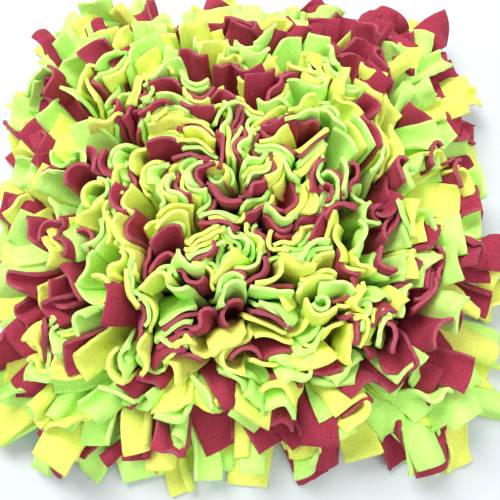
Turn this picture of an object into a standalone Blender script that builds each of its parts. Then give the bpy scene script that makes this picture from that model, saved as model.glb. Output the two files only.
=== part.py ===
"""Snuffle mat: fleece strips knotted through a slotted rubber mat, in seven rows of seven tufts.

Each tuft is one solid: the bunched loop under the mat, the knot on top of it, and the tails
that stand up from the knot. Tails in the middle stand nearly upright and are curled, and those
nearer the rim lean out, until the outermost row lies over on the floor.
"""

import math
import random

import bmesh
import bpy
from mathutils import Matrix, Vector
from mathutils.bvhtree import BVHTree

# Rubber mat
MAT_SIDE = 0.330
MAT_CORNER = 0.014
MAT_THICK = 0.005
LOOP_THICK = 0.003          # the fleece that crosses each rib underneath, on which the mat lies
GAP = 0.0003                # between the fleece and the rubber
MAT_BOTTOM = LOOP_THICK + GAP
MAT_TOP = MAT_BOTTOM + MAT_THICK

# Tufts and the slots that they go through, two slots to a tuft
TUFTS_A_SIDE = 7
PITCH = 0.047
SLOT_PITCH = PITCH / 2
SLOT_X = 0.0130
SLOT_Y = 0.0320
LEG_X = 0.0095
LEG_Y = SLOT_Y - 2 * GAP
RIB_HALF = (SLOT_PITCH - SLOT_X) / 2

# Knots: a grid of cells on top of each, from which the tails grow
KNOT_HEIGHT = 0.0090
KNOT_TOP = MAT_TOP + GAP + KNOT_HEIGHT
KNOT_DEPTH = 0.0205         # across the tails, shared out among their rows
KNOT_WIDTH = 0.0280         # along the tails' width

# Fleece tails
STRIP_WIDTH = 0.028
STRIP_THICK = 0.003
TAIL_LENGTH = 0.070
LENGTH_SPREAD = 0.006
WIDTH_SPREAD = 0.0015
CLEARANCE = 0.0008          # kept between any two tails, past their roots

# The way the tails lean: upright in the middle, and past level at the rim
RIM_LEAN = math.radians(99)
RIM_AT = 3.375 * PITCH      # from the middle to the outermost row of tails
LEAN_POWER = 3.4
DROOP = 0.22                # share of its lean by which a tail straightens at the root, and bends at the tip
CORNER_POWER = 8            # a rounded square, so that the sides lean as evenly as the corners
SPLAY_POWER = 1.3
LOWEST_TIP = 0.0005

# Random scatter of the tails, at its widest, and the tries that a tail has to clear those beside it
TWIST = math.radians(32)
SWING = math.radians(11)
TILT = math.radians(8)
SHINGLE = math.radians(12)  # turn of the flat rim tails, by which each lies over the next
TRIES = 10
NARROWER = 0.96
SEED = 7

# Headings of the stretches across a curled tail, in degrees from its width, for two or four stretches.
# The first of each is the one that always fits.
CURLS = {
    2: {"vee": (-36, 36), "roof": (36, -36), "hook": (-24, 42), "bent": (38, -22)},
    4: {"arc": (-36, -12, 12, 36), "wave": (34, -34, -34, 34), "bow": (38, 12, -12, -38)},
}

# Tail cells of a knot, row by row: the first and last column of each cell, on a grid of that many columns
MIDDLE_COLUMNS = 4
MIDDLE_CELLS = (((0, 4),), ((0, 2), (2, 4)), ((0, 2), (2, 4)), ((0, 2), (2, 4)), ((0, 4),))
RIM_COLUMNS = 2
RIM_CELLS = (((0, 1), (1, 2)),) * 4
MIDDLE_RINGS = (1.0,)
RIM_RINGS = {0: (0.42, 1.0), 1: (0.42, 1.0), 2: (0.34, 0.67, 1.0), 3: (0.34, 0.67, 1.0)}

COLOURS = {
    "fleece_yellow": (0.72, 0.85, 0.10),
    "fleece_green": (0.42, 0.84, 0.14),
    "fleece_raspberry": (0.42, 0.04, 0.11),
    "rubber": (0.03, 0.03, 0.032),
}


def clear_scene():
    for thing in list(bpy.data.objects):
        bpy.data.objects.remove(thing)


def make_material(name):
    material = bpy.data.materials.new(name)
    material.use_nodes = True
    shader = material.node_tree.nodes["Principled BSDF"]
    shader.inputs["Base Color"].default_value = (*COLOURS[name], 1.0)
    shader.inputs["Roughness"].default_value = 0.95 if name != "rubber" else 0.7
    shader.inputs["Metallic"].default_value = 0.0
    return material


def add_object(name, data, material, collection):
    thing = bpy.data.objects.new(name, data)
    data.materials.append(material)
    collection.objects.link(thing)
    return thing


def closed_outline(curve, points):
    spline = curve.splines.new("POLY")
    spline.points.add(len(points) - 1)
    for point, (x, y) in zip(spline.points, points):
        point.co = (x, y, 0.0, 1.0)
    spline.use_cyclic_u = True


def make_mat(material, collection):
    """The slotted rubber mat: a flat outline with rounded corners and its slots, extruded."""
    curve = bpy.data.curves.new("base_mat", "CURVE")
    curve.dimensions = "2D"
    curve.fill_mode = "BOTH"
    curve.extrude = MAT_THICK / 2
    centre = MAT_SIDE / 2 - MAT_CORNER
    outline = []
    for quarter in range(4):
        for step in range(6):
            turn = math.radians(90 * quarter + 18 * step)
            side_x = 1 if quarter in (0, 3) else -1
            side_y = 1 if quarter in (0, 1) else -1
            outline.append((side_x * centre + MAT_CORNER * math.cos(turn),
                            side_y * centre + MAT_CORNER * math.sin(turn)))
    closed_outline(curve, outline)
    for row in range(TUFTS_A_SIDE):
        for column in range(2 * TUFTS_A_SIDE):
            x = (column - TUFTS_A_SIDE + 0.5) * SLOT_PITCH
            y = (row - TUFTS_A_SIDE // 2) * PITCH
            closed_outline(curve, [(x + sx * SLOT_X / 2, y + sy * SLOT_Y / 2)
                                   for sx, sy in ((-1, -1), (-1, 1), (1, 1), (1, -1))])
    mat = add_object("base_mat", curve, material, collection)
    mat.location.z = MAT_BOTTOM + MAT_THICK / 2


def reach_out(place):
    """How far out a place is on the mat, along rounded squares, from its middle to the rim."""
    x, y = abs(place.x), abs(place.y)
    return (x ** CORNER_POWER + y ** CORNER_POWER) ** (1 / CORNER_POWER)


def outward(place):
    way = Vector((math.copysign(abs(place.x) ** SPLAY_POWER, place.x),
                  math.copysign(abs(place.y) ** SPLAY_POWER, place.y), 0.0))
    return way.normalized() if way.length > 1e-9 else Vector((1.0, 0.0, 0.0))


def lean_at(place):
    return RIM_LEAN * min(1.0, reach_out(place) / RIM_AT) ** LEAN_POWER


class Tail:
    """One tail: its root cell on the knot, where it is bound for, and its scatter."""

    def __init__(self, centre, across, along, row, rows, cell, columns, rings, chance):
        first, last = cell
        step = row - (rows - 1) / 2
        middle = (first + last) / 2 / columns - 0.5
        self.across = across            # from row to row
        self.along = along              # along the tail's width
        self.hand = Vector((0, 0, 1)).cross(along).dot(across)
        self.stretches = last - first
        self.rings = rings
        self.thick_root = KNOT_DEPTH / rows
        self.root = centre + across * (step * self.thick_root) + along * (middle * KNOT_WIDTH)
        self.root.z = KNOT_TOP
        self.place = centre + across * (step * PITCH / rows) + along * (middle * PITCH)
        self.length = TAIL_LENGTH + chance.uniform(-LENGTH_SPREAD, LENGTH_SPREAD)
        self.width = STRIP_WIDTH + chance.uniform(-WIDTH_SPREAD, WIDTH_SPREAD)
        self.scatter(chance, 0)

    def scatter(self, chance, share):
        """Its turn, swing, tilt and curl: the plain ones at no share, and the wildest at a share of one."""
        shingle = SHINGLE if self.stretches == 1 else 0.0
        self.twist = shingle + share * chance.uniform(-TWIST, TWIST)
        self.swing = share * chance.uniform(-SWING, SWING)
        self.tilt = share * chance.uniform(-TILT, TILT)
        curls = list(CURLS.get(self.stretches, {"flat": (0,)}).values())
        self.curl = chance.choice(curls) if share else curls[0]
        self.surface = self.skin()

    def point(self, t):
        """The middle line at a share t of the length, and its direction there."""
        lean = lean_at(self.place) + self.tilt
        way = Matrix.Rotation(self.swing, 3, "Z") @ outward(self.place)
        flat, high, steps = 0.0, 0.0, 12
        for step in range(steps):
            bend = lean * (1 + DROOP * (2 * t * (step + 0.5) / steps - 1))
            flat += math.sin(bend) * t / steps
            high += math.cos(bend) * t / steps
        spread = (self.place - self.root) * min(1.0, 1.4 * t)
        spread.z = 0.0
        place = self.root + spread + way * (flat * self.length)
        place.z = KNOT_TOP + high * self.length * 0.97
        bend = lean * (1 + DROOP * (2 * t - 1))
        return place, way * math.sin(bend) + Vector((0, 0, math.cos(bend)))

    def ring(self, t):
        """The outline of the tail at t: out along one face and back along the other."""
        place, run = self.point(t)
        rim_share = min(1.0, max(0.0, (reach_out(self.place) - 0.06) / 0.09))
        round_mat = Vector((0, 0, 1)).cross(outward(self.place))
        if round_mat.dot(self.along) < 0:
            round_mat.negate()
        width = self.along.lerp(round_mat, rim_share * t)
        width = Matrix.Rotation(self.twist * t, 3, run) @ (width - run * width.dot(run)).normalized()
        normal = run.cross(width) * self.hand
        opened = min(1.0, 1.3 * t)
        stretch = (self.root_width() * (1 - opened) + self.width * opened) / self.stretches
        heads = [math.radians(h) * min(1, 1.2 * t) for h in self.curl]
        line = [Vector()]
        for head in heads:
            line.append(line[-1] + (width * math.cos(head) + normal * math.sin(head)) * stretch)
        middle = sum(line, Vector()) / len(line)
        faces = ([], [])
        for k, spot in enumerate(line):
            near = [heads[n] for n in (k - 1, k) if 0 <= n < len(heads)]
            head = sum(near) / len(near)
            half = STRIP_THICK / 2 / math.cos((near[0] - near[-1]) / 2)
            side = (normal * math.cos(head) - width * math.sin(head)) * half
            for face, sign in zip(faces, (-1, 1)):
                face.append(place + spot - middle + side * sign)
        lift = max(0.0, LOWEST_TIP - min(spot.z for face in faces for spot in face))
        for face in faces:
            for spot in face:
                spot.z += lift
        return faces

    def root_ring(self):
        faces = ([], [])
        for k in range(self.stretches + 1):
            spot = self.root + self.along * ((k / self.stretches - 0.5) * self.root_width())
            for face, sign in zip(faces, (-1, 1)):
                face.append(spot + self.across * (sign * self.thick_root / 2))
        return faces

    def root_width(self):
        return KNOT_WIDTH if self.stretches == 4 else KNOT_WIDTH / 2

    def skin(self):
        """The tail's surface past its root, a little fatter than it is, to test for touching."""
        near = [[a.lerp(b, 0.25) for a, b in zip(low, high)]
                for low, high in zip(self.root_ring(), self.ring(self.rings[0]))]
        rings = [near] + [self.ring(t) for t in self.rings]
        points, faces = [], []
        for front, back in rings:
            for a, b in zip(front, back):
                out = (b - a).normalized() * CLEARANCE / 2
                points += [a - out, b + out]
        count = 2 * (self.stretches + 1)
        for level in range(len(rings) - 1):
            low = level * count
            for k in range(self.stretches):
                for side in (0, 1):
                    a = low + 2 * k + side
                    faces.append((a, a + 2, a + 2 + count, a + count))
            for a in (low, low + count - 2):
                faces.append((a, a + 1, a + 1 + count, a + count))
        return BVHTree.FromPolygons(points, faces)


def grid_axes(column, row):
    """A knot's two directions: from row to row of its tails, and along their width."""
    x, y = Vector((1, 0, 0)), Vector((0, 1, 0))
    if max(abs(column), abs(row)) >= 2:
        return (x, y) if abs(column) >= abs(row) else (y, x)
    return (x, y) if (column + row) % 2 else (y, x)


def plan_tails(chance):
    """All the tails, by tuft: laid out plainly, and then scattered as far as those beside them allow."""
    half = TUFTS_A_SIDE // 2
    plan = {}
    for column in range(-half, half + 1):
        for row in range(-half, half + 1):
            plan[column, row] = tuft_tails(column, row, chance)
    tails = [tail for tuft in plan.values() for _, _, tail in tuft]
    for tail in tails:
        tail.near = [other for other in tails if other is not tail
                     and (other.place - tail.place).length < TAIL_LENGTH]
    narrow(tails)
    chance.shuffle(tails)
    for tail in tails:
        for attempt in range(TRIES + 1):
            tail.scatter(chance, 1 - attempt / TRIES)
            if not touches(tail):
                break
    narrow(tails)
    return plan


def narrow(tails):
    for tail in tails:
        for attempt in range(TRIES):
            if not touches(tail):
                break
            tail.width *= NARROWER
            tail.surface = tail.skin()


def touches(tail):
    return any(tail.surface.overlap(other.surface) for other in tail.near)


def tuft_tails(column, row, chance):
    centre = Vector((column * PITCH, row * PITCH, 0.0))
    across, along = grid_axes(column, row)
    rim = is_rim(column, row)
    cells = RIM_CELLS if rim else MIDDLE_CELLS
    columns = RIM_COLUMNS if rim else MIDDLE_COLUMNS
    tails = []
    for number, spans in enumerate(cells):
        outer = number if centre.dot(across) >= 0 else len(cells) - 1 - number
        rings = RIM_RINGS[outer] if rim else MIDDLE_RINGS
        for cell in spans:
            tail = Tail(centre, across, along, number, len(cells), cell, columns, rings, chance)
            tails.append((number, cell, tail))
    return tails


def is_rim(column, row):
    return max(abs(column), abs(row)) == TUFTS_A_SIDE // 2


def make_tuft(name, centre, axes, rows, columns, tails, material, collection):
    """A tuft's solid: loop, legs and knot as one block, and its tails drawn up from the knot's cells."""
    across, along = axes
    shape = bmesh.new()
    cells = {}
    corners = {}
    for row in range(rows + 1):
        for column in range(columns + 1):
            spot = centre + across * ((row / rows - 0.5) * KNOT_DEPTH)
            spot += along * ((column / columns - 0.5) * KNOT_WIDTH)
            corners[row, column] = shape.verts.new((spot.x, spot.y, KNOT_TOP))
    for row in range(rows):
        for column in range(columns):
            cells[row, column] = shape.faces.new([corners[row + a, column + b]
                                                  for a, b in ((0, 0), (1, 0), (1, 1), (0, 1))])
    add_block(shape, centre, across, corners, rows, columns)
    bmesh.ops.recalc_face_normals(shape, faces=shape.faces)
    for row, (first, last), tail in tails:
        faces = [cells[row, column] for column in range(first, last)]
        for t in tail.rings:
            faces = draw_up(shape, faces, tail, t)
    if shape.calc_volume(signed=True) < 0:
        bmesh.ops.reverse_faces(shape, faces=shape.faces)
    mesh = bpy.data.meshes.new(name)
    shape.to_mesh(mesh)
    shape.free()
    add_object(name, mesh, material, collection)


def draw_up(shape, faces, tail, t):
    """Extrudes a tail's end faces, and sets them out as its outline at t."""
    made = bmesh.ops.extrude_face_region(shape, geom=faces)["geom"]
    covered = [face for face in faces if face.is_valid]
    bmesh.ops.delete(shape, geom=covered, context="FACES")
    new_faces = [g for g in made if isinstance(g, bmesh.types.BMFace)]
    number = tail.rings.index(t)
    before = tail.ring(tail.rings[number - 1]) if number else tail.root_ring()
    after = tail.ring(t)
    for vert in (g for g in made if isinstance(g, bmesh.types.BMVert)):
        options = [((vert.co - before[side][k]).length, side, k)
                   for side in (0, 1) for k in range(tail.stretches + 1)]
        _, side, k = min(options)
        vert.co = after[side][k]
    return new_faces


def add_block(shape, centre, across, corners, rows, columns):
    """The knot's sides, and the two legs and the loop that hold the rib between the two slots."""
    x_in, x_out = RIB_HALF + GAP, RIB_HALF + GAP + LEG_X
    low = MAT_TOP + GAP
    levels = {"in_low": (x_in, low), "in_loop": (x_in, LOOP_THICK), "out_low": (x_out, low), "out_floor": (x_out, 0.0)}
    point = {}
    for key, (x, z) in levels.items():
        for sx in (-1, 1):
            for sy in (-1, 1):
                point[key, sx, sy] = shape.verts.new((centre.x + sx * x, centre.y + sy * LEG_Y / 2, z))
    by_rows = across.x > 0.5
    for sx in (-1, 1):
        if by_rows:
            top = [corners[rows if sx > 0 else 0, c] for c in range(columns + 1)]
        else:
            top = [corners[r, columns if sx > 0 else 0] for r in range(rows + 1)]
        shape.faces.new(top + [point["out_low", sx, 1], point["out_low", sx, -1]])
        shape.faces.new([point["out_low", sx, sy] for sy in (-1, 1)] + [point["out_floor", sx, sy] for sy in (1, -1)])
        shape.faces.new([point["in_low", sx, sy] for sy in (-1, 1)] + [point["in_loop", sx, sy] for sy in (1, -1)])
    for key in ("in_low", "in_loop", "out_floor"):
        shape.faces.new([point[key, sx, sy] for sx, sy in ((-1, -1), (1, -1), (1, 1), (-1, 1))])
    for sy in (-1, 1):
        if by_rows:
            top = [corners[r, columns if sy > 0 else 0] for r in range(rows + 1)]
        else:
            top = [corners[rows if sy > 0 else 0, c] for c in range(columns + 1)]
        shape.faces.new(top + [point["out_low", 1, sy], point["in_low", 1, sy],
                               point["in_low", -1, sy], point["out_low", -1, sy]])
        for sx in (-1, 1):
            shape.faces.new([point[key, sx, sy] for key in ("out_low", "out_floor", "in_loop", "in_low")])
        shape.faces.new([point["in_loop", -1, sy], point["in_loop", 1, sy],
                         point["out_floor", 1, sy], point["out_floor", -1, sy]])


def main():
    clear_scene()
    collection = bpy.data.collections.new("snuffle_mat")
    bpy.context.scene.collection.children.link(collection)
    materials = {name: make_material(name) for name in COLOURS}
    make_mat(materials["rubber"], collection)
    chance = random.Random(SEED)
    plan = plan_tails(chance)
    half = TUFTS_A_SIDE // 2
    fleece = [name for name in COLOURS if name.startswith("fleece")]
    for column, row in sorted(plan):
        rim = is_rim(column, row)
        rows = len(RIM_CELLS if rim else MIDDLE_CELLS)
        columns = RIM_COLUMNS if rim else MIDDLE_COLUMNS
        name = f"tuft_{row + half + 1}_{column + half + 1}"
        centre = Vector((column * PITCH, row * PITCH, 0.0))
        make_tuft(name, centre, grid_axes(column, row), rows, columns, plan[column, row],
                  materials[fleece[(2 * column + row) % 3]], collection)


main()
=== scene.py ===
"""Snuffle mat: fleece strips knotted through a slotted rubber mat.

Each tail is a limp strip that has settled among the rest.
"""

import math

import bmesh
import bpy
import numpy as np
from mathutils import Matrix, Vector


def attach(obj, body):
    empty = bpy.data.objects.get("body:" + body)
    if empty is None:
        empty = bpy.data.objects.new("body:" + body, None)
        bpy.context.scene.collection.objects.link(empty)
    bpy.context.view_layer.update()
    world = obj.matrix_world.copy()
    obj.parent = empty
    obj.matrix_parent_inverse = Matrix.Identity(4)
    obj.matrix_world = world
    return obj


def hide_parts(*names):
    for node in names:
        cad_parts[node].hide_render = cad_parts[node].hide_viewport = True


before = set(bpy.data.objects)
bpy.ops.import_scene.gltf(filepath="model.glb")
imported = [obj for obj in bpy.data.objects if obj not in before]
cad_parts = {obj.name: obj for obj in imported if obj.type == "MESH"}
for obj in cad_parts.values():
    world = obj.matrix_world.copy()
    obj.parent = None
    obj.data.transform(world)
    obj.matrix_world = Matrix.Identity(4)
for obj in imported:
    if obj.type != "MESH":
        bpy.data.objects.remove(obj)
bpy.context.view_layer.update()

bl_info = {
    "name": "Snuffle mat",
    "version": (1, 0, 0),
    "blender": (4, 5, 0),
    "location": "View3D > Sidebar > Snuffle mat",
    "description": "Builds a snuffle mat of knotted fleece strips on a slotted rubber base",
    "category": "Add Mesh",
}

# The tufts and the rubber mat
HALF = 3                    # tufts on each side of the middle one
STRIPS = 8                  # of fleece in each tuft
MAT_TOP = 0.0083            # of the rubber, above the floor
MAT_SIDE = 0.330
RIM_AT = 3.375              # from the middle to the outermost roots, in tuft spacings
SEED = 1

# The grid of points that each tail is worked out on, and the one that it is drawn with, finer across it
ROWS, COLS = 18, 9
FINE_ROWS, FINE_COLS = 18, 11
EDGE_OUT, EDGE_HIGH = 0.16, 0.84    # how far the cut edge stands out, and its height, to half the thickness

# Settling
SETTLE_STEPS = 270
PAIR_STEPS = 8              # steps between two searches for points near each other
CURLED_BY = 0.55            # share of the steps after which every tail has all its curls
APART = 0.0040              # between the middles of two layers
SEARCH = 0.0065             # points nearer than this are watched until the next search
MOST_PUSH = 0.0012          # furthest that a point is pushed in a step
FIRST_FREE_ROW = 2
HIT_ROW = 3                 # tails are bunched below this row, so points there don't push
FLOOR_REST, MAT_REST = 0.0018, 0.0018       # height of a tail's middle above what it lies on
HOLD_FIRST, HOLD_LAST = 0.10, 0.004         # how strongly a tail is drawn to its own shape, at first and last
HOLD_REACH = 0.008          # a point further off than this is drawn no harder
ROOT_HOLD = 0.5             # how much more strongly at the root
ROOT_ROWS = 3.0             # rows over which that fades
SAG, RIM_SAG = 0.00003, 0.00010     # drop in a step at the cut end, and what the rim adds
KEEP_LENGTH, KEEP_SQUARE, KEEP_CURL, PUSH = 0.9, 0.35, 0.22, 0.9
RUN_TO_CURL = 0.7           # stiffness along a tail, to that across it
CURL_SPANS, RUN_SPANS = (2, 4, 8), (2, 4)   # points that the links across and along a tail reach over
OWN_NEAR = 2                # points of one tail that are this few rows and columns apart don't push
ON_TOP = 0.25               # how strongly a pair is sorted into its layers
LAYER_RISE = 0.10           # how much higher a tail's layer is, to how much further in it is rooted

# Knots on the mat, and the loops under its ribs. A loop's path and half its thickness are given point by point
TUBE_SIDES = 8
KNOT_RINGS = 7
KNOT_PAST = 0.0065          # how far a knot runs past the roots of its tails
KNOT_ACROSS, KNOT_UP, KNOT_MIDDLE = 0.0034, 0.0042, 0.0129
KNOT_LUMPS, KNOT_TIP = 0.16, 0.02   # how lumpy a knot is, and how thick at its ends, to its middle
LOOP_X = (-0.0095, -0.0095, -0.0086, -0.0065, 0.0, 0.0065, 0.0086, 0.0095, 0.0095)
LOOP_Z = (0.0100, 0.0052, 0.0026, 0.0017, 0.0016, 0.0017, 0.0026, 0.0052, 0.0100)
LOOP_HALF = (0.0034, 0.0030, 0.0019, 0.0014, 0.0014, 0.0014, 0.0019, 0.0030, 0.0034)
LOOP_WIDE, LOOP_APART = 0.0018, 0.0038      # half a bunched strip's width, and from one strip to the next
LOOP_SQUARE = 1.25          # above 1, a bunched strip has flat sides

# How the tails are rooted and cut
ROOT_RISE = 0.0012          # above the mat
ROOT_AT = 0.25              # from a tuft's middle to its rows of roots, in tuft spacings
STAGGER = 0.25              # how far each row is shifted along, in strips, one row each way
ROOT_ACROSS, ROOT_ALONG = 0.0014, 0.0035    # how far a root may be off its place
WIDTH_VARIES = 0.002        # either way
LENGTH_VARIES = (-0.009, 0.006)
WIDE_FROM, WIDE_CHANCE, WIDE_BY = 0.9, 0.08, 1.25   # a few strips at the rim are cut wider
SLANT = 0.10                # of the cut end, to the length
ROOT_WIDTH, WIDTH_GAIN = 0.42, 0.58         # a tail is bunched at its root, and gains its whole width
WHOLE_WIDTH_AT, WIDTH_POWER = 0.28, 0.8     # by this share of its length

# How the tails hang: each pair of angles, in degrees, is for the middle of the mat and for its rim
MIDDLE_CURLS = ("arc",) * 4 + ("wave",) * 2 + ("vee",) * 3 + ("horseshoe",) + ("bow",) * 3 + ("hook", "roll")
RIM_CURLS = ("flat", "arc", "arc", "bow", "bow", "hook", "wave", "vee", "fold")
ALIKE = (0.80, 0.22)        # the chance that a strip lies along the one before it
TWIST, TILT, TIP, SWAY, SWING = (55, 62), (11, 24), (24, 52), (12, 30), (0, 38)
OWN_TWIST, OWN_TILT, OWN_TIP, OWN_SWING = 8, 4, 10, 9       # how far a tail may be from its group's
OWN_CURL = 0.2              # how much stronger or weaker its curl may be
LOOSE_FROM, LOOSE_TO = 0.42, 0.84           # from the middle's way of hanging to the rim's, over this reach
START_WIDTH, START_GAIN = 0.80, 0.20        # tails start narrower, to find their places
CURL_AT, CURL_POWER = 0.55, 1.3             # share of the length from which a tail has its whole curl
TIP_FROM, TIP_POWER = 0.30, 1.3             # share of the length from which the cut end tips over
OUT_POWER = 1.3             # above 1, a tail leans out more nearly square to its side of the mat
TURN_FROM, TURN_OVER = 0.38, 0.5            # reach over which tails turn their width to run round the mat
CORNER_POWER = 8            # how square the lines of equal reach are
RIM_LEAN = math.radians(97)                 # of the tails at the rim, from upright
LEAN_POWER = 4.4            # how late on the way to the rim the lean sets in
LEAN_LEAST = 0.70           # the least that a group at the rim leans, to RIM_LEAN
LEAN_VARIES, OWN_LEAN = 0.35, 0.06          # either way: a group in the middle, and one tail at the rim
DROOP = (0.12, 0.62)        # least and most by which a tail leans more at its end than half way up

# Fleece
FLEECES = ("yellow", "green", "raspberry")
NAP_DEPTHS = (0.70, 0.75, 1.70)     # how far the nap lightens and darkens each fleece
NAP_SCALE, MOTTLE_SCALE = 760, 130
CUT_SHEEN = 0.045           # how far toward white the cut edges are painted: a painted sheen highlight where their fuzz catches the light
TONE_LEAST, TONE_VARIES = 0.90, 0.16        # brightness of the darkest tail, and what the palest adds
MOTTLE_DEPTH = 0.14
NAP_HIGH, MOTTLE_HIGH = 0.7, 0.6            # in the bump
SHARES = (0.32, 0.395, 0.285)       # of the strips, in the order of FLEECES
LESS_ALIKE = 0.75           # how much less likely a strip is of a fleece that is right beside it
ALIKE_REACH = 0.026         # distance at which that ends

# Rubber
SHARP_FROM = math.radians(35)       # edges sharper than this are rounded
SAME_POINT, SAME_FACE = 1e-6, math.radians(1)       # corners and faces within these are merged

# Floor and light
FLOOR_SIZE, FLOOR_DROP = 6.0, 0.0004        # the floor is a little below the fleece, so that they don't meet
SKY, SKY_STRENGTH = (0.95, 0.97, 1.0), 0.63
LIGHTS = (("key", (-0.7, 0.9, 1.5), 1.0, 34.5), ("fill", (0.9, -0.5, 1.3), 1.2, 9.2))     # place, size, power


class FleeceSettings(bpy.types.PropertyGroup):
    strip_width: bpy.props.FloatProperty(
        name="Strip width", description="Width that the fleece strips are cut to",
        default=0.032, unit="LENGTH")
    strip_thick: bpy.props.FloatProperty(
        name="Fleece thickness", description="Thickness of the fleece", default=0.0030, unit="LENGTH")
    tail_length: bpy.props.FloatProperty(
        name="Tail length", description="Length of a tail from its knot to its cut end",
        default=0.073, unit="LENGTH")
    pitch: bpy.props.FloatProperty(
        name="Tuft spacing", description="Distance from one tuft to the next", default=0.047, unit="LENGTH")
    yellow: bpy.props.FloatVectorProperty(
        name="Yellow", description="Colour of the yellow fleece",
        default=(0.865, 0.945, 0.172), subtype="COLOR")
    green: bpy.props.FloatVectorProperty(
        name="Green", description="Colour of the green fleece",
        default=(0.605, 1.0, 0.225), subtype="COLOR")
    raspberry: bpy.props.FloatVectorProperty(
        name="Raspberry", description="Colour of the raspberry fleece",
        default=(0.385, 0.041, 0.076), subtype="COLOR")


class RubberSettings(bpy.types.PropertyGroup):
    rubber: bpy.props.FloatVectorProperty(
        name="Rubber", description="Colour of the rubber mat", default=(0.028, 0.028, 0.03), subtype="COLOR")
    edge: bpy.props.FloatProperty(
        name="Moulded edge", description="Radius of the rubber's edges", default=0.0006, unit="LENGTH")


class StageSettings(bpy.types.PropertyGroup):
    floor_colour: bpy.props.FloatVectorProperty(
        name="Floor", description="Colour of the floor",
        default=(0.655, 0.70, 0.71), subtype="COLOR")
    camera_height: bpy.props.FloatProperty(
        name="Camera height", description="Height of the camera above the floor",
        default=0.450, unit="LENGTH")
    camera_front: bpy.props.FloatProperty(
        name="Camera in front", description="How far the camera is in front of the mat's middle",
        default=0.154, unit="LENGTH")
    camera_side: bpy.props.FloatProperty(
        name="Camera to the side", description="How far the camera is to the right of the mat's middle",
        default=0.004, unit="LENGTH")
    camera_tilt: bpy.props.FloatProperty(
        name="Camera tilt", description="Turn of the camera from straight down", default=math.radians(15.36),
        subtype="ANGLE")
    camera_turn: bpy.props.FloatProperty(
        name="Camera turn", description="Turn of the camera about the vertical", default=math.radians(-1.09),
        subtype="ANGLE")


def curl_heads(kind, strength, hand):
    """Headings of the stretches across a tail, in radians from its width."""
    across = (np.arange(COLS - 1) - (COLS - 2) / 2) / ((COLS - 2) / 2)
    if kind == "arc":
        heads = across * math.radians(50 + 30 * strength)
    elif kind == "horseshoe":
        heads = across * math.radians(80 + 18 * strength)
    elif kind == "vee":
        heads = np.tanh(across * 3) * math.radians(46 + 20 * strength)
    elif kind == "wave":
        heads = np.cos(across * math.pi) * math.radians(46 + 22 * strength)
    elif kind == "bow":
        heads = across * math.radians(32 + 18 * strength) * (1 + 0.6 * across)
    elif kind == "hook":
        heads = np.clip(across + 0.2, 0, None) ** 1.2 * math.radians(96 + 26 * strength) - math.radians(14)
    elif kind == "fold":
        heads = np.clip(across, 0, None) * math.radians(150) - math.radians(8)
    elif kind == "roll":
        heads = (across + 1) ** 1.15 * math.radians(118 + 14 * strength) - math.radians(90)
    else:
        heads = across * math.radians(9 * strength)
    return heads * hand


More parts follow.
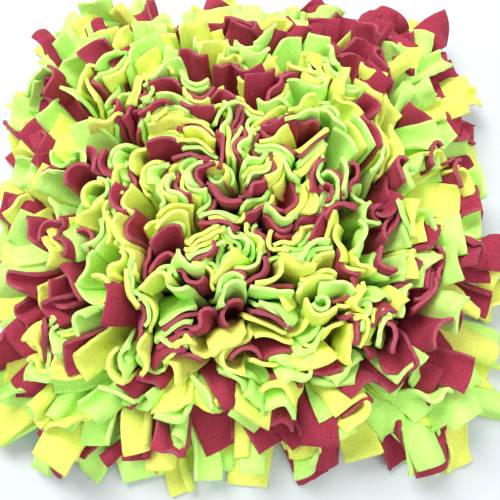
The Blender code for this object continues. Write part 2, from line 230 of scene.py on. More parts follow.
class Tails:
    """All the tails of the mat: where each is rooted and the shape that it would take on its own."""

    def __init__(self, fleece, chance):
        self.fleece = fleece
        rows = []
        for column in range(-HALF, HALF + 1):
            for row in range(-HALF, HALF + 1):
                rows += self.tuft(column, row, chance)
        self.count = len(rows)
        for key in rows[0]:
            setattr(self, key, np.array([tail[key] for tail in rows]))

    def tuft(self, column, row, chance):
        pitch = self.fleece.pitch
        centre = np.array([column * pitch, row * pitch])
        across, along = tuft_axes(column, row)
        tails = []
        for side in (-1, 1):
            group = None
            for number in range(STRIPS):
                step = (number + 0.5 + STAGGER * side) / STRIPS - 0.5
                place = centre + across * step * pitch + along * side * pitch * ROOT_AT
                place = (place + across * chance.uniform(-ROOT_ACROSS, ROOT_ACROSS)
                         + along * chance.uniform(-ROOT_ALONG, ROOT_ALONG))
                loose = (np.abs(place).max() / (RIM_AT * pitch) - LOOSE_FROM) / (LOOSE_TO - LOOSE_FROM)
                loose = min(1.0, max(0.0, loose))
                if group is None or group["kind"] == "roll" or chance.uniform() > between(ALIKE, loose):
                    group = new_group(loose, chance)
                tails.append(one_tail(self.fleece, group, loose, chance))
                # The digits of strip are its tuft's column and row and its number there.
                tails[-1].update(cell=(column, row), place=place, along=along,
                                 strip=(column + HALF) * 100 + (row + HALF) * 10 + number)
        return tails

    def reach(self):
        """How far out each tail is rooted, from 0 in the middle to 1 at the rim."""
        rounded = (np.abs(self.place) ** CORNER_POWER).sum(axis=1) ** (1 / CORNER_POWER)
        return np.minimum(1.0, rounded / (RIM_AT * self.fleece.pitch))

    def frames(self, share, t):
        """The way that each tail runs, its width and its face, at each share t of its length."""
        reach, count = self.reach(), self.count
        way = np.sign(self.place) * np.abs(self.place / (MAT_SIDE / 2)) ** OUT_POWER
        way /= np.maximum(np.linalg.norm(way, axis=1, keepdims=True), 1e-9)
        cos, sin = np.cos(self.swing * share), np.sin(self.swing * share)
        way = np.stack([way[:, 0] * cos - way[:, 1] * sin, way[:, 0] * sin + way[:, 1] * cos], axis=1)
        own_lean = 1 + (self.lean - 1) * share
        lean = way * (RIM_LEAN * own_lean * reach ** LEAN_POWER)[:, None] + self.tilt * share
        size = np.linalg.norm(lean, axis=1) + 1e-9
        way = np.concatenate([lean / size[:, None], np.zeros((count, 1))], axis=1)
        droop = np.mean(DROOP) + (self.droop - np.mean(DROOP)) * share
        bend = size[:, None] * (1 + droop[:, None] * (2 * t - 1)[None, :])
        run = way[:, None, :] * np.sin(bend)[..., None]
        run[..., 2] += np.cos(bend)
        along = np.concatenate([self.along, np.zeros((count, 1))], axis=1)
        round_mat = np.stack([-way[:, 1], way[:, 0], np.zeros(count)], axis=1)
        flip = np.sign((round_mat * along).sum(axis=1, keepdims=True))
        round_mat *= np.where(flip == 0, 1, flip)
        turned = np.clip((reach - TURN_FROM) / TURN_OVER, 0, 1)[:, None, None] * t[None, :, None]
        wide = along[:, None, :] * (1 - turned) + round_mat[:, None, :] * turned
        wide = wide - run * (wide * run).sum(axis=2, keepdims=True)
        wide /= np.linalg.norm(wide, axis=2, keepdims=True)
        face = np.cross(run, wide)
        turn = (self.twist[:, None] * share * t[None, :])[:, :, None]
        wide, face = (wide * np.cos(turn) + face * np.sin(turn),
                      face * np.cos(turn) - wide * np.sin(turn))
        top = np.clip((t - TIP_FROM) / (1 - TIP_FROM), 0, 1)[None, :] ** TIP_POWER
        flop = share * (self.tip[:, None] * top + self.sway[:, None] * np.sin(t * math.pi)[None, :])
        flop = flop[:, :, None]
        return run * np.cos(flop) + face * np.sin(flop), wide, face * np.cos(flop) - run * np.sin(flop)

    def shape(self, share):
        """The points of every tail and the lengths to keep: plain at share 0, and fully curled at 1."""
        t = np.linspace(0, 1, ROWS)
        count = self.count
        width = self.width * (START_WIDTH + START_GAIN * share)
        step = self.length[:, None] / (ROWS - 1)
        run, wide, face = self.frames(share, t)
        middle = (run[:, 1:] + run[:, :-1]) / 2
        base = np.concatenate([self.place, np.full((count, 1), MAT_TOP + ROOT_RISE)], axis=1)
        base = base[:, None, :]
        line = np.concatenate([base, base + np.cumsum(middle * step[..., None], axis=1)], axis=1)
        grown = share * np.clip(t / CURL_AT, 0, 1) ** CURL_POWER
        heads = self.heads[:, None, :] * grown[None, :, None]
        narrow = ROOT_WIDTH + WIDTH_GAIN * np.clip(t / WHOLE_WIDTH_AT, 0, 1) ** WIDTH_POWER
        stretch = (width[:, None] * narrow[None, :] / (COLS - 1))[:, :, None]
        sides = np.concatenate([np.zeros((count, ROWS, 1)), np.cumsum(np.cos(heads), axis=2)], axis=2)
        rises = np.concatenate([np.zeros((count, ROWS, 1)), np.cumsum(np.sin(heads), axis=2)], axis=2)
        sides = (sides - sides.mean(axis=2, keepdims=True)) * stretch
        rises = (rises - rises.mean(axis=2, keepdims=True)) * stretch
        points = (line[:, :, None, :] + wide[:, :, None, :] * sides[..., None]
                  + face[:, :, None, :] * rises[..., None])
        u = np.linspace(-1, 1, COLS)
        slant = self.slant[:, None, None] * u[None, None, :]
        cut = slant * (t ** 2)[None, :, None] * self.length[:, None, None]
        points = points + run[:, :, None, :] * cut[..., None]
        rests = {"length": step[:, :, None] + cut[:, 1:, :] - cut[:, :-1, :],
                 "width": np.broadcast_to(stretch, (count, ROWS, COLS - 1))}
        for span in CURL_SPANS:
            rests[span] = np.hypot(sides[..., span:] - sides[..., :-span],
                                   rises[..., span:] - rises[..., :-span])
        for span in RUN_SPANS:
            gap = line[:, span:] - line[:, :-span]
            rests["run", span] = np.sqrt((gap * gap).sum(axis=-1))[:, :, None]
        rests = {name: np.ascontiguousarray(value, dtype=np.float32) for name, value in rests.items()}
        return points.astype(np.float32), rests


def tuft_axes(column, row):
    """The way that a tuft's strips are stacked, and the way that their width runs."""
    x, y = np.array([1.0, 0.0]), np.array([0.0, 1.0])
    if max(abs(column), abs(row)) >= 2:
        return (x, y) if abs(column) >= abs(row) else (y, x)
    return (x, y) if (column + row) % 2 else (y, x)


def between(pair, loose):
    """A value on the way from the middle's to the rim's."""
    return pair[0] + (pair[1] - pair[0]) * loose


def new_group(loose, chance):
    """What strips that lie in one another share. loose is 0 in the middle of the mat and 1 at its rim."""
    def angle(pair):
        return math.radians(between(pair, loose)) * chance.uniform(-1, 1)

    kinds = RIM_CURLS if chance.uniform() < loose else MIDDLE_CURLS
    toward = chance.uniform(0, 2 * math.pi)
    size = math.radians(between(TILT, loose)) * math.sqrt(chance.uniform())
    return {
        "kind": kinds[chance.randint(len(kinds))],
        "strength": chance.uniform(-1, 1),
        "hand": (-1, 1)[chance.randint(2)],
        "twist": angle(TWIST),
        "tilt": np.array([math.cos(toward), math.sin(toward)]) * size,
        "tip": angle(TIP),
        "sway": angle(SWAY),
        "swing": angle(SWING),
        "lean": (1 - (1 - LEAN_LEAST) * loose * chance.uniform()
                 + LEAN_VARIES * (1 - loose) * chance.uniform(-1, 1)),
        "droop": chance.uniform(*DROOP),
    }


def one_tail(fleece, group, loose, chance):
    """A tail's own size and how it hangs, near to its group's."""
    width = fleece.strip_width + chance.uniform(-WIDTH_VARIES, WIDTH_VARIES)
    if loose > WIDE_FROM and chance.uniform() < WIDE_CHANCE:
        width *= WIDE_BY
    return {
        "length": fleece.tail_length + chance.uniform(*LENGTH_VARIES),
        "width": width,
        "twist": group["twist"] + math.radians(OWN_TWIST) * chance.uniform(-1, 1),
        "tilt": group["tilt"] + math.radians(OWN_TILT) * chance.uniform(-1, 1, 2),
        "tip": group["tip"] + math.radians(OWN_TIP) * chance.uniform(-1, 1),
        "sway": group["sway"],
        "swing": group["swing"] + math.radians(OWN_SWING) * loose * chance.uniform(-1, 1),
        "lean": group["lean"] + OWN_LEAN * chance.uniform(-1, 1) * loose,
        "droop": group["droop"],
        "slant": chance.uniform(-1, 1) * SLANT,
        "heads": curl_heads(group["kind"], group["strength"] + OWN_CURL * chance.uniform(-1, 1),
                            group["hand"]),
    }


def pull_links(points, first, second, rest, stiff):
    """Moves both ends of each link so that it comes nearer to its length. first and second pick its ends."""
    gap = points[second] - points[first]
    now = np.sqrt((gap * gap).sum(axis=-1)) + 1e-9
    move = gap * ((now - rest) / now * (0.5 * stiff))[..., None]
    points[first] += move
    points[second] -= move


def keep_lengths(points, rests, stiff):
    """Links from each point to the next, along a tail and across it."""
    whole = slice(None)
    for parity in (0, 1):
        last = ROWS - 1 - (ROWS - 1 - parity) % 2
        low, high = slice(parity, last, 2), slice(parity + 1, last + 1, 2)
        pull_links(points, (whole, low), (whole, high), rests["length"][:, low], stiff)
    for parity in (0, 1):
        last = COLS - 1 - (COLS - 1 - parity) % 2
        low, high = slice(parity, last, 2), slice(parity + 1, last + 1, 2)
        pull_links(points, (whole, whole, low), (whole, whole, high), rests["width"][:, :, low], stiff)


def keep_square(points, rests, stiff):
    """Diagonals, so that the fleece doesn't shear."""
    whole = slice(None)
    length, width = rests["length"], rests["width"]
    for row in (0, 1):
        for col in (0, 1):
            rows_low = slice(row, ROWS - 1, 2)
            rows_high = slice(row + 1, ROWS, 2)
            cols_low = slice(col, COLS - 1, 2)
            cols_high = slice(col + 1, COLS, 2)
            side = (width[:, rows_low, cols_low] + width[:, rows_high, cols_low]) / 2
            up = (length[:, rows_low, cols_low] + length[:, rows_low, cols_high]) / 2
            lean = (length[:, rows_low, cols_high] - length[:, rows_low, cols_low]) / 2
            rest = np.sqrt(side ** 2 + up ** 2 + lean ** 2)
            pull_links(points, (whole, rows_low, cols_low), (whole, rows_high, cols_high), rest, stiff)
            pull_links(points, (whole, rows_low, cols_high), (whole, rows_high, cols_low), rest, stiff)


def keep_curl(points, rests, stiff):
    """Longer links, which keep the curl across a tail and the bend along it."""
    whole = slice(None)
    for span in CURL_SPANS:
        for start in range(COLS - span):
            one, other = slice(start, start + 1), slice(start + span, start + span + 1)
            rest = rests[span][:, :, one]
            pull_links(points, (whole, whole, one), (whole, whole, other), rest, stiff)
    for span in RUN_SPANS:
        for start in range(2 * span):
            low = slice(start, ROWS - span, 2 * span)
            high = slice(start + span, ROWS, 2 * span)
            rest = rests["run", span][:, low]
            pull_links(points, (whole, low), (whole, high), rest, stiff * RUN_TO_CURL)


def near_pairs(flat, movable, tail, row, col):
    """Pairs of points nearer than SEARCH: of two tails, or of one tail that has folded back on itself."""
    picked = np.flatnonzero(movable)
    spots = flat[picked]
    cells = np.floor((spots - spots.min(axis=0)) / SEARCH).astype(np.int64) + 1
    size = cells.max(axis=0) + 2
    keys = (cells[:, 0] * size[1] + cells[:, 1]) * size[2] + cells[:, 2]
    order = np.argsort(keys, kind="stable")
    sorted_keys = keys[order]
    found = []
    for dx in (-1, 0, 1):
        for dy in (-1, 0, 1):
            for dz in (-1, 0, 1):
                if (dx, dy, dz) < (0, 0, 0):
                    continue
                other = sorted_keys + (dx * size[1] + dy) * size[2] + dz
                start = np.searchsorted(sorted_keys, other, side="left")
                stop = np.searchsorted(sorted_keys, other, side="right")
                if (dx, dy, dz) == (0, 0, 0):
                    start = np.arange(len(order)) + 1
                many = np.maximum(stop - start, 0)
                a = np.repeat(np.arange(len(order)), many)
                offset = np.arange(len(a)) - np.repeat(np.cumsum(many) - many, many)
                b = np.repeat(start, many) + offset
                a, b = order[a], order[b]
                gap = spots[a] - spots[b]
                close = (gap * gap).sum(axis=1) < SEARCH * SEARCH
                a, b = picked[a[close]], picked[b[close]]
                beside = (np.abs(row[a] - row[b]) <= OWN_NEAR) & (np.abs(col[a] - col[b]) <= OWN_NEAR)
                same = (tail[a] == tail[b]) & beside
                found.append(np.stack([a[~same], b[~same]]))
    return np.concatenate(found, axis=1)


def push_apart(flat, pairs, layer, apart, stiff):
    """Moves points apart that are too near. Past the mat, the tail with the higher layer goes on top."""
    a, b = pairs
    gap = flat[b] - flat[a]
    gap[:, 2] += (layer[b] - layer[a]) * ON_TOP
    square = (gap * gap).sum(axis=1)
    close = square < apart * apart
    a, b, gap = a[close], b[close], gap[close]
    now = np.sqrt(square[close]) + 1e-7
    move = gap * ((apart - now) / now * (0.5 * stiff))[:, None]
    count = len(flat)
    for axis in range(3):
        shift = np.bincount(b, weights=move[:, axis], minlength=count)
        shift -= np.bincount(a, weights=move[:, axis], minlength=count)
        flat[:, axis] += np.clip(shift, -MOST_PUSH, MOST_PUSH).astype(np.float32)


def above_mat(points):
    return (np.abs(points[..., 0]) < MAT_SIDE / 2) & (np.abs(points[..., 1]) < MAT_SIDE / 2)


def settle(tails):
    """Lets the tails take up their curls, with their lengths kept, each pushed by those that it touches."""
    points = tails.shape(0.0)[0].copy()
    count = tails.count
    tail, row, col = np.meshgrid(np.arange(count), np.arange(ROWS), np.arange(COLS), indexing="ij")
    tail, row, col = tail.ravel(), row.ravel(), col.ravel()
    movable = row >= HIT_ROW
    bunched = row.reshape(points.shape[:3]) < HIT_ROW
    root = np.clip((np.arange(ROWS) - FIRST_FREE_ROW) / ROOT_ROWS, 0, 1)
    reach = tails.reach()
    layer = (LAYER_RISE * np.maximum(0.0, reach.max() - reach))[:, None, None].astype(np.float32)
    sag = (SAG + RIM_SAG * reach ** 3)[:, None, None] * np.linspace(0, 1, ROWS)[None, :, None]
    for number in range(SETTLE_STEPS):
        share = min(1.0, number / (CURLED_BY * SETTLE_STEPS))
        if number % PAIR_STEPS == 0:
            goal, rests = tails.shape(share)
            pairs = near_pairs(points.reshape(-1, 3), movable, tail, row, col)
        hold = HOLD_FIRST * (1 - number / SETTLE_STEPS) ** 1.5 + HOLD_LAST
        pull = goal - points
        far = np.sqrt((pull * pull).sum(axis=-1, keepdims=True)) + 1e-9
        pull *= np.minimum(1.0, HOLD_REACH / far)
        hold_rows = hold + (1 - root) * ROOT_HOLD
        points += pull * hold_rows[None, :, None, None]
        points[..., 2] -= sag
        keep_lengths(points, rests, KEEP_LENGTH)
        keep_square(points, rests, KEEP_SQUARE)
        keep_curl(points, rests, KEEP_CURL)
        flat = points.reshape(-1, 3)
        over_mat = above_mat(points)
        push_apart(flat, pairs, np.where(over_mat, 0, layer).ravel(), APART, PUSH)
        keep_lengths(points, rests, KEEP_LENGTH)
        lowest = np.where(over_mat, MAT_TOP + MAT_REST, FLOOR_REST + layer)
        points[..., 2] = np.maximum(points[..., 2], np.where(bunched, -1, lowest))
        points[:, :FIRST_FREE_ROW] = goal[:, :FIRST_FREE_ROW]
    points[..., 2] = np.maximum(points[..., 2], np.where(above_mat(points), MAT_TOP + ROOT_RISE, -1))
    return points


def spline_weights(count, fine):
    """Weights that take values at count points to fine points along a smooth curve near them."""
    weights = np.zeros((fine, count + 2))
    for number, place in enumerate(np.linspace(0, count - 1, fine)):
        first = min(int(place), count - 2)
        s = place - first
        for offset, value in enumerate(((1 - s) ** 3 / 6, (3 * s ** 3 - 6 * s * s + 4) / 6,
                                        (3 * (s + s * s - s ** 3) + 1) / 6, s ** 3 / 6)):
            weights[number, first + offset] += value
    inner = weights[:, 1:-1].copy()
    inner[:, 0] += 2 * weights[:, 0]
    inner[:, 1] -= weights[:, 0]
    inner[:, -1] += 2 * weights[:, -1]
    inner[:, -2] -= weights[:, -1]
    return inner


def tail_faces():
    """Corners of one tail's faces: the front, the back and the cut edge between them."""
    index = np.arange(FINE_ROWS * FINE_COLS).reshape(FINE_ROWS, FINE_COLS)
    back = index + index.size
    front_quads = np.stack([index[:-1, :-1], index[:-1, 1:], index[1:, 1:], index[1:, :-1]], axis=-1)
    back_quads = np.stack([back[:-1, :-1], back[1:, :-1], back[1:, 1:], back[:-1, 1:]], axis=-1)
    quads = [front_quads.reshape(-1, 4), back_quads.reshape(-1, 4)]
    border = edge_loop(index)
    front_ring = 2 * index.size + np.arange(len(border))
    loops = (border, front_ring, front_ring + len(border), border + index.size)
    for high, low in zip(loops, loops[1:]):
        quads.append(np.stack([low, np.roll(low, -1), np.roll(high, -1), high], axis=-1))
    return np.concatenate(quads), border


def edge_loop(index):
    """The outermost points of a grid, in order round it."""
    return np.concatenate([index[0, :-1], index[:-1, -1], index[-1, :0:-1], index[:0:-1, 0]])


def thick_tails(points, thick):
    """Points of each tail's front, back and cut edge, from those of its middle layer."""
    fine = np.einsum("fr,nrcx->nfcx", spline_weights(ROWS, FINE_ROWS), points.astype(np.float64))
    fine = np.einsum("fc,nrcx->nrfx", spline_weights(COLS, FINE_COLS), fine)
    up = np.gradient(fine, axis=1)
    side = np.gradient(fine, axis=2)
    normal = np.cross(side, up)
    normal /= np.linalg.norm(normal, axis=-1, keepdims=True) + 1e-12
    out = np.zeros_like(fine)
    side_way = side / (np.linalg.norm(side, axis=-1, keepdims=True) + 1e-12)
    up_way = up / (np.linalg.norm(up, axis=-1, keepdims=True) + 1e-12)
    out[:, :, 0] -= side_way[:, :, 0]
    out[:, :, -1] += side_way[:, :, -1]
    out[:, 0, :] -= up_way[:, 0, :]
    out[:, -1, :] += up_way[:, -1, :]
    out /= np.linalg.norm(out, axis=-1, keepdims=True) + 1e-12
    count, half = len(points), thick / 2
    border = edge_loop(np.arange(FINE_ROWS * FINE_COLS).reshape(FINE_ROWS, FINE_COLS))
    layers = [fine + normal * half, fine - normal * half]
    layers = [layer.reshape(count, -1, 3) for layer in layers]
    for sign in (1, -1):
        ring = fine + out * (half * EDGE_OUT) + normal * (sign * half * EDGE_HIGH)
        layers.append(ring.reshape(count, -1, 3)[:, border])
    return np.concatenate(layers, axis=1)


def tube_faces(rings):
    """Faces of a closed tube of that many rings of TUBE_SIDES corners."""
    quads = []
    for ring in range(rings - 1):
        low, high = ring * TUBE_SIDES, (ring + 1) * TUBE_SIDES
        for corner in range(TUBE_SIDES):
            onward = (corner + 1) % TUBE_SIDES
            quads.append((low + corner, low + onward, high + onward, high + corner))
    last = (rings - 1) * TUBE_SIDES
    for start in range(1, TUBE_SIDES - 2, 2):
        quads.append((start + 2, start + 1, start, 0))
        quads.append((last, last + start, last + start + 1, last + start + 2))
    return np.array(quads)


def knot_rings(ends, number):
    """The knotted middle of a strip: a lumpy bar from the root of one of its tails to the other's."""
    ends = ends[np.argsort(ends @ np.array([1.0, 0.37]))]     # the left or the front end first
    middle, reach = ends.mean(axis=0), (ends[1] - ends[0]) / 2
    reach = reach * (1 + KNOT_PAST / np.linalg.norm(reach))
    across = np.array([-reach[1], reach[0]]) / np.linalg.norm(reach)
    turn = np.linspace(0, 2 * math.pi, TUBE_SIDES, endpoint=False)
    rings = []
    for along in -np.cos(np.linspace(0, math.pi, KNOT_RINGS)):
        full = (1 - along ** 4) ** 0.5 * (1 + KNOT_LUMPS * math.sin(5 * along + number)) + KNOT_TIP
        flat = middle + reach * along + across * (KNOT_ACROSS * full * np.cos(turn))[:, None]
        rings.append(np.column_stack([flat, KNOT_MIDDLE + KNOT_UP * full * np.sin(turn)]))
    return np.concatenate(rings)


def loop_rings(centre):
    """The bunched strip where it comes down one slot, crosses the rib under the mat and goes up the next."""
    path = np.array([LOOP_X, LOOP_Z]).T
    run = np.gradient(path, axis=0)
    run /= np.linalg.norm(run, axis=1, keepdims=True)
    turn = np.linspace(0, 2 * math.pi, TUBE_SIDES, endpoint=False)
    rings = []
    for (x, z), (run_x, run_z), half in zip(path, run, LOOP_HALF):
        thick = half * np.clip(LOOP_SQUARE * np.sin(turn), -1, 1)
        rings.append(np.column_stack([centre[0] + x - run_z * thick,
                                      centre[1] + LOOP_WIDE * np.clip(LOOP_SQUARE * np.cos(turn), -1, 1),
                                      z + run_x * thick]))
    return np.concatenate(rings)


def knots_and_loops(tails, strips):
    """Points and faces of the knots and loops of these strips."""
    spots, quads, first = [], [], 0
    for strip in strips:
        own = tails.strip == strip
        number = strip % 10
        cell = tails.cell[own][0] * tails.fleece.pitch
        centre = cell + np.array([0.0, (number - (STRIPS - 1) / 2) * LOOP_APART])
        for rings in (knot_rings(tails.place[own], number), loop_rings(centre)):
            spots.append(rings)
            quads.append(tube_faces(len(rings) // TUBE_SIDES) + first)
            first += len(rings)
    return np.concatenate(spots), np.concatenate(quads)


def quad_mesh(name, spots, quads, tones, uvs, rings):
    """A mesh that is sharp along the rings of its cut edges. rings has each point's ring, or 0."""
    mesh = bpy.data.meshes.new(name)
    mesh.vertices.add(len(spots))
    mesh.vertices.foreach_set("co", np.ascontiguousarray(spots, dtype=np.float32).ravel())
    mesh.loops.add(quads.size)
    mesh.loops.foreach_set("vertex_index", np.ascontiguousarray(quads, dtype=np.int32).ravel())
    mesh.polygons.add(len(quads))
    mesh.polygons.foreach_set("loop_start", np.arange(len(quads), dtype=np.int32) * 4)
    mesh.polygons.foreach_set("use_smooth", np.ones(len(quads), dtype=bool))
    mesh.update(calc_edges=True)
    mesh.validate()
    ends = np.empty(2 * len(mesh.edges), dtype=np.int32)
    mesh.edges.foreach_get("vertices", ends)
    one, other = rings[ends.reshape(-1, 2)].T
    sharp = mesh.attributes.new("sharp_edge", "BOOLEAN", "EDGE")
    sharp.data.foreach_set("value", (one == other) & (one > 0))
    # Red is each tail's own brightness; green marks the cut edges for the painted sheen highlight.
    layer = mesh.attributes.new("fleece_tone_and_sheen", "FLOAT_COLOR", "POINT")
    layer.data.foreach_set("color", np.ascontiguousarray(tones, dtype=np.float32).ravel())
    uv_map = mesh.uv_layers.new(name="UVMap")
    uv_map.uv.foreach_set("vector", np.ascontiguousarray(uvs[quads.ravel()], dtype=np.float32).ravel())
    return mesh


def pick_colours(tails, chance):
    """A fleece for each strip, seldom the same as those of the strips around it."""
    choice, spots = {}, []
    for strip in np.unique(tails.strip):
        spot = tails.place[tails.strip == strip].mean(axis=0)
        shares = np.array(SHARES)
        for other, taken in zip(spots, choice.values()):
            near = max(0.0, 1 - math.hypot(*(other - spot)) / ALIKE_REACH)
            shares[taken] *= 1 - LESS_ALIKE * near
        choice[strip] = int(chance.choice(len(FLEECES), p=shares / shares.sum()))
        spots.append(spot)
    return np.array([choice[strip] for strip in tails.strip])


def fleece_material(name, colour, nap_depth):
    """Napped fleece: soft mottling, a paler raised nap, fine fuzz in the bump, and a painted sheen highlight
    on the cut edges.
    """
    material = bpy.data.materials.new(name)
    material.use_nodes = True
    tree = material.node_tree
    shader = tree.nodes["Principled BSDF"]
    shader.inputs["Roughness"].default_value = 1.0
    shader.inputs["Specular IOR Level"].default_value = 0.12
    shader.inputs["Sheen Weight"].default_value = 0.12
    shader.inputs["Sheen Tint"].default_value = (*(0.6 + 0.4 * value for value in colour), 1.0)
    shader.inputs["Sheen Roughness"].default_value = 0.45
    place = tree.nodes.new("ShaderNodeTexCoord").outputs["Object"]
    tone = tree.nodes.new("ShaderNodeAttribute")
    tone.attribute_name = "fleece_tone_and_sheen"
    split = tree.nodes.new("ShaderNodeSeparateColor")
    tree.links.new(tone.outputs["Color"], split.inputs["Color"])

    def noise(scale, detail, rough):
        node = tree.nodes.new("ShaderNodeTexNoise")
        node.inputs["Scale"].default_value = scale
        node.inputs["Detail"].default_value = detail
        node.inputs["Roughness"].default_value = rough
        tree.links.new(place, node.inputs["Vector"])
        return node.outputs["Fac"]

    def maths(kind, one, other, third=None):
        node = tree.nodes.new("ShaderNodeMath")
        node.operation = kind
        for socket, value in zip(node.inputs, (one, other, third)):
            if value is None:
                continue
            if isinstance(value, (int, float)):
                socket.default_value = value
            else:
                tree.links.new(value, socket)
        return node.outputs["Value"]

    mottle, nap = noise(MOTTLE_SCALE, 3, 0.6), noise(NAP_SCALE, 3, 0.75)
    bright = maths("MULTIPLY_ADD", split.outputs["Red"], TONE_VARIES, TONE_LEAST)
    bright = maths("MULTIPLY_ADD", mottle, MOTTLE_DEPTH, maths("SUBTRACT", bright, MOTTLE_DEPTH / 2))
    bright = maths("MULTIPLY_ADD", nap, nap_depth, maths("SUBTRACT", bright, nap_depth / 2))
    # Painted sheen highlight: where the tone's green marks a cut edge, the colour is painted paler.
    face = tree.nodes.new("ShaderNodeMix")
    face.data_type = "RGBA"
    tree.links.new(split.outputs["Green"], face.inputs["Factor"])
    face.inputs["A"].default_value = (*colour, 1.0)
    face.inputs["B"].default_value = (*(value + CUT_SHEEN * (1 - value) for value in colour), 1.0)
    shade = tree.nodes.new("ShaderNodeMix")
    shade.data_type = "RGBA"
    shade.blend_type = "MULTIPLY"
    shade.inputs["Factor"].default_value = 1.0
    tree.links.new(face.outputs["Result"], shade.inputs["A"])
    grey = tree.nodes.new("ShaderNodeCombineColor")
    for channel in ("Red", "Green", "Blue"):
        tree.links.new(bright, grey.inputs[channel])
    tree.links.new(grey.outputs["Color"], shade.inputs["B"])
    tree.links.new(shade.outputs["Result"], shader.inputs["Base Color"])
    bump = tree.nodes.new("ShaderNodeBump")
    bump.inputs["Strength"].default_value = 0.8
    bump.inputs["Distance"].default_value = 0.0006
    height = maths("MULTIPLY_ADD", nap, NAP_HIGH, maths("MULTIPLY", mottle, MOTTLE_HIGH))
    tree.links.new(height, bump.inputs["Height"])
    tree.links.new(bump.outputs["Normal"], shader.inputs["Normal"])
    return material


def rubber_material(colour):
    """Matt black rubber with a fine grain."""
    material = bpy.data.materials.new("rubber")
    material.use_nodes = True
    tree = material.node_tree
    shader = tree.nodes["Principled BSDF"]
    shader.inputs["Roughness"].default_value = 0.62
    shader.inputs["Base Color"].default_value = (*colour, 1.0)
    place = tree.nodes.new("ShaderNodeTexCoord").outputs["Object"]
    grain = tree.nodes.new("ShaderNodeTexNoise")
    grain.inputs["Scale"].default_value = 1400
    grain.inputs["Detail"].default_value = 2
    tree.links.new(place, grain.inputs["Vector"])
    bump = tree.nodes.new("ShaderNodeBump")
    bump.inputs["Strength"].default_value = 0.25
    bump.inputs["Distance"].default_value = 0.0002
    tree.links.new(grain.outputs["Fac"], bump.inputs["Height"])
    tree.links.new(bump.outputs["Normal"], shader.inputs["Normal"])
    return material


class SNUFFLE_OT_fleece(bpy.types.Operator):
    """Cuts, knots and settles all the fleece strips, one piece for each tuft and colour"""
    bl_idname = "snuffle.fleece"
    bl_label = "Fleece strips"

    def execute(self, context):
        fleece = context.scene.snuffle_fleece
        chance = np.random.RandomState(SEED)
        tails = Tails(fleece, chance)
        points = settle(tails)
        if not np.isfinite(points).all():
            raise RuntimeError("the fleece strips didn't settle")
        colours = pick_colours(tails, chance)
        spots = thick_tails(points, fleece.strip_thick)
        quads, border = tail_faces()
        grid = FINE_ROWS * FINE_COLS
        u, v = np.meshgrid(np.linspace(0, fleece.strip_width, FINE_COLS),
                           np.linspace(0, fleece.tail_length, FINE_ROWS))
        uv = np.stack([u, v], axis=-1).reshape(grid, 2)
        uv = np.concatenate([uv, uv, uv[border], uv[border]])
        rings = np.repeat([0, 1, 2], [2 * grid, len(border), len(border)])
        random_tone = chance.uniform(0, 1, tails.count)
        materials = [fleece_material("fleece_" + name, getattr(fleece, name), depth)
                     for name, depth in zip(FLEECES, NAP_DEPTHS)]
        size = spots.shape[1]
        for column in range(-HALF, HALF + 1):
            for row in range(-HALF, HALF + 1):
                in_tuft = (tails.cell == (column, row)).all(axis=1)
                for number, name in enumerate(FLEECES):
                    chosen = np.flatnonzero(in_tuft & (colours == number))
                    if not len(chosen):
                        continue
                    strips = np.unique(tails.strip[chosen])
                    knots, knot_faces = knots_and_loops(tails, strips)
                    faces = (quads[None] + (np.arange(len(chosen)) * size)[:, None, None]).reshape(-1, 4)
                    faces = np.concatenate([faces, knot_faces + len(chosen) * size])
                    corners = np.concatenate([spots[chosen].reshape(-1, 3), knots])
                    # Red holds a tail's own brightness, and green is 1 on its cut edge, where the painted
                    # sheen highlight goes.
                    tones = np.full((len(corners), 4), 0.5)
                    tones[:len(chosen) * size, 0] = np.repeat(random_tone[chosen], size)
                    tones[:len(chosen) * size, 1] = np.tile(rings > 0, len(chosen))
                    tones[len(chosen) * size:, 1] = 0
                    uvs = np.concatenate([np.tile(uv, (len(chosen), 1)), knots[:, :2]])
                    all_rings = np.concatenate([np.tile(rings, len(chosen)), np.zeros(len(knots), dtype=int)])
                    title = f"fleece_{row + HALF + 1}_{column + HALF + 1}_{name}"
                    mesh = quad_mesh(title, corners, faces, tones, uvs, all_rings)
                    piece = bpy.data.objects.new(title, mesh)
                    mesh.materials.append(materials[number])
                    context.scene.collection.objects.link(piece)
                    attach(piece, "root")
                    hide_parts(f"tuft_{row + HALF + 1}_{column + HALF + 1}")
        return {"FINISHED"}


class SNUFFLE_OT_rubber(bpy.types.Operator):
    """Finishes the slotted rubber mat, with its edges rounded as moulded"""
    bl_idname = "snuffle.rubber"
    bl_label = "Rubber mat"

    def execute(self, context):
        rubber = context.scene.snuffle_rubber
        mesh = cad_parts["base_mat"].data.copy()
        mesh.name = "rubber_mat"
        shape = bmesh.new()
        shape.from_mesh(mesh)
        bmesh.ops.remove_doubles(shape, verts=shape.verts, dist=SAME_POINT)
        bmesh.ops.dissolve_limit(shape, angle_limit=SAME_FACE, verts=shape.verts, edges=shape.edges)
        sharp = [edge for edge in shape.edges
                 if len(edge.link_faces) == 2 and edge.calc_face_angle() > SHARP_FROM]
        bmesh.ops.bevel(shape, geom=sharp, offset=rubber.edge, segments=2, affect="EDGES", profile=0.5)
        bmesh.ops.triangulate(shape, faces=shape.faces)
        shape.to_mesh(mesh)
        shape.free()
        mesh.materials.clear()
        mesh.materials.append(rubber_material(rubber.rubber))
        piece = bpy.data.objects.new("rubber_mat", mesh)
        context.scene.collection.objects.link(piece)
        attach(piece, "root")
        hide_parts("base_mat")
        return {"FINISHED"}


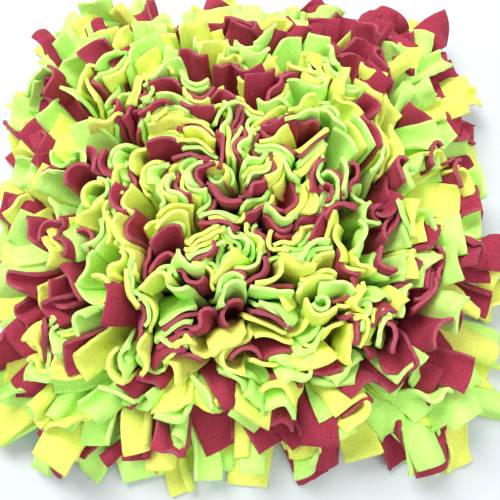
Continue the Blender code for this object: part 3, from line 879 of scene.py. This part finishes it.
class SNUFFLE_OT_stage(bpy.types.Operator):
    """Adds the pale floor, the soft studio light and the camera"""
    bl_idname = "snuffle.stage"
    bl_label = "Floor, light and camera"

    def execute(self, context):
        stage = context.scene.snuffle_stage
        bpy.ops.object.select_all(action="DESELECT")
        bpy.ops.mesh.primitive_plane_add(size=FLOOR_SIZE, location=(0, 0, -FLOOR_DROP))
        floor = context.object
        floor.name = "floor"
        material = bpy.data.materials.new("floor")
        material.use_nodes = True
        shader = material.node_tree.nodes["Principled BSDF"]
        shader.inputs["Base Color"].default_value = (*stage.floor_colour, 1.0)
        shader.inputs["Roughness"].default_value = 0.95
        floor.data.materials.append(material)
        world = bpy.data.worlds.new("studio")
        context.scene.world = world
        world.use_nodes = True
        back = world.node_tree.nodes["Background"]
        back.inputs["Color"].default_value = (*SKY, 1.0)
        back.inputs["Strength"].default_value = SKY_STRENGTH
        for name, spot, size, power in LIGHTS:
            light = bpy.data.lights.new(name, "AREA")
            light.size = size
            light.energy = power
            lamp = bpy.data.objects.new(name, light)
            lamp.location = spot
            lamp.rotation_euler = (-Vector(spot)).to_track_quat("-Z", "Y").to_euler()
            context.scene.collection.objects.link(lamp)
        data = bpy.data.cameras.new("camera")
        data.sensor_width = 36.0
        data.lens = 36.0
        camera = bpy.data.objects.new("camera", data)
        camera.location = (stage.camera_side, -stage.camera_front, stage.camera_height)
        camera.rotation_euler = (stage.camera_tilt, 0, stage.camera_turn)
        context.scene.collection.objects.link(camera)
        context.scene.camera = camera
        context.scene.view_settings.view_transform = "Standard"
        return {"FINISHED"}


class SNUFFLE_PT_panel(bpy.types.Panel):
    """Lists the snuffle mat's settings and steps"""
    bl_idname = "SNUFFLE_PT_panel"
    bl_label = "Snuffle mat"
    bl_space_type = "VIEW_3D"
    bl_region_type = "UI"
    bl_category = "Snuffle mat"

    def draw(self, context):
        scene = context.scene
        for holder in (scene.snuffle_fleece, scene.snuffle_rubber, scene.snuffle_stage):
            for key in holder.__annotations__:
                self.layout.prop(holder, key)
        for step in STEPS_IN_ORDER:
            self.layout.operator(step.bl_idname)


STEPS_IN_ORDER = (SNUFFLE_OT_fleece, SNUFFLE_OT_rubber, SNUFFLE_OT_stage)
CLASSES = (FleeceSettings, RubberSettings, StageSettings, *STEPS_IN_ORDER, SNUFFLE_PT_panel)


def register():
    for cls in CLASSES:
        bpy.utils.register_class(cls)
    bpy.types.Scene.snuffle_fleece = bpy.props.PointerProperty(type=FleeceSettings)
    bpy.types.Scene.snuffle_rubber = bpy.props.PointerProperty(type=RubberSettings)
    bpy.types.Scene.snuffle_stage = bpy.props.PointerProperty(type=StageSettings)


def unregister():
    for name in ("snuffle_fleece", "snuffle_rubber", "snuffle_stage"):
        delattr(bpy.types.Scene, name)
    for cls in reversed(CLASSES):
        bpy.utils.unregister_class(cls)


def main():
    register()
    bpy.ops.snuffle.rubber()
    bpy.ops.snuffle.fleece()
    bpy.ops.snuffle.stage()


if __name__ == "__main__":
    main()
